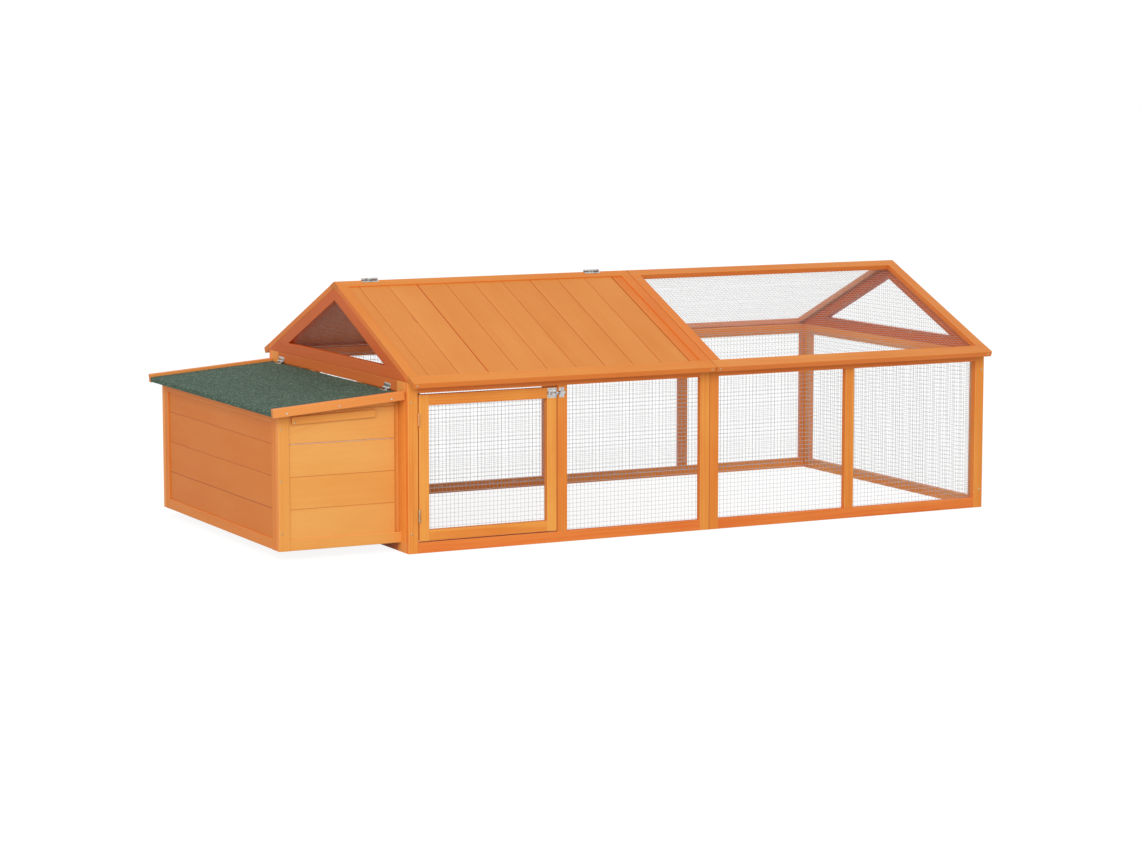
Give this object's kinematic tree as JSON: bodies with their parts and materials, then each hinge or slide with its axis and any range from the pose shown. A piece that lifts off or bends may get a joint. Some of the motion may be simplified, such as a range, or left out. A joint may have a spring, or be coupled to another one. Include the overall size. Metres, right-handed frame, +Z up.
{
  "type": "rabbit hutch",
  "caption": "Long gabled rabbit run of stained softwood frames and wire netting, with a boarded nest box under a felted lid at one end, a side door and a lifting roof panel.",
  "frame": {"origin": "on the ground, in the middle of the hutch's outline", "axes": "X along the hutch with the nest box at low X, Y from the front to the back, Z up"},
  "size_m": [2.41, 1.1628, 0.7613],
  "materials": {
    "frame_wood": "planed softwood bars with a thin orange-brown stain, satin",
    "roof_planks": "tongued softwood planks with a thin orange-brown stain, satin",
    "nest_boards": "tongued softwood boards with a thin orange-brown stain, satin",
    "wire_mesh": "welded galvanised wire, dull grey",
    "zinc_hardware": "bright zinc-plated pressed steel",
    "screw_steel": "zinc-plated screw and nail heads, slightly dulled",
    "roof_felt": "green mineral-surfaced bitumen felt, rough and speckled"
  },
  "bodies": {
    "hutch": {"front_left_stiles": "frame_wood", "front_left_rails": "frame_wood", "front_left_mesh": "wire_mesh", "front_right_stiles": "frame_wood", "front_right_rails": "frame_wood", "front_right_mesh": "wire_mesh", "back_left_stiles": "frame_wood", "back_left_rails": "frame_wood", "back_left_mesh": "wire_mesh", "back_right_stiles": "frame_wood", "back_right_rails": "frame_wood", "back_right_mesh": "wire_mesh", "left_end_stiles": "frame_wood", "left_end_rails": "frame_wood", "left_end_boards": "nest_boards", "right_end_stiles": "frame_wood", "right_end_rails": "frame_wood", "right_end_mesh": "wire_mesh", "gable_rails": "frame_wood", "gable_rafters": "frame_wood", "gable_mesh": "wire_mesh", "back_roof_rails": "frame_wood", "back_roof_sides": "frame_wood", "back_roof_planks": "roof_planks", "front_run_roof_rails": "frame_wood", "front_run_roof_sides": "frame_wood", "front_run_roof_mesh": "wire_mesh", "back_run_roof_rails": "frame_wood", "back_run_roof_sides": "frame_wood", "back_run_roof_mesh": "wire_mesh", "door_hinge_post_leaves": "zinc_hardware", "ridge_hinge_back_leaves": "zinc_hardware", "lid_hinge_wall_leaves": "zinc_hardware", "hinge_pins": "zinc_hardware", "bolt_keeper": "zinc_hardware", "nest_end_stiles": "frame_wood", "nest_end_rails": "frame_wood", "nest_end_boards": "nest_boards", "nest_side_posts": "frame_wood", "nest_side_rails": "frame_wood", "nest_front_boards": "nest_boards", "nest_back_boards": "nest_boards", "nest_floor": "nest_boards", "nest_grip_batten": "frame_wood", "panel_screws": "screw_steel"},
    "door": {"door_stiles": "frame_wood", "door_rails": "frame_wood", "door_mesh": "wire_mesh", "door_hinge_door_leaves": "zinc_hardware", "bolt_plate": "zinc_hardware"},
    "bolt": {"bolt_rod": "zinc_hardware"},
    "lid": {"lid_board": "nest_boards", "lid_felt": "roof_felt", "lid_trims": "frame_wood", "lid_hinge_lid_leaves": "zinc_hardware", "lid_nails": "screw_steel"},
    "roof_panel": {"front_roof_rails": "frame_wood", "front_roof_sides": "frame_wood", "front_roof_planks": "roof_planks", "ridge_hinge_front_leaves": "zinc_hardware"}
  },
  "joints": [
    {"name": "door_swing", "type": "hinge", "parent": "hutch", "child": "door", "pos_m": [-0.7615, -0.5407, 0.25], "axis": [0, 0, -1], "range_deg": [0, 175]},
    {"name": "bolt_slide", "type": "slide", "parent": "door", "child": "bolt", "axis": [1, 0, 0], "range_m": [0, 0.012]},
    {"name": "lid_swing", "type": "hinge", "parent": "hutch", "child": "lid", "pos_m": [-0.7985, 0, 0.47252], "axis": [0, 1, 0], "range_deg": [0, 93]},
    {"name": "roof_swing", "type": "hinge", "parent": "hutch", "child": "roof_panel", "pos_m": [-0.295, 0, 0.75833], "axis": [-1, 0, 0], "range_deg": [0, 220]}
  ]
}
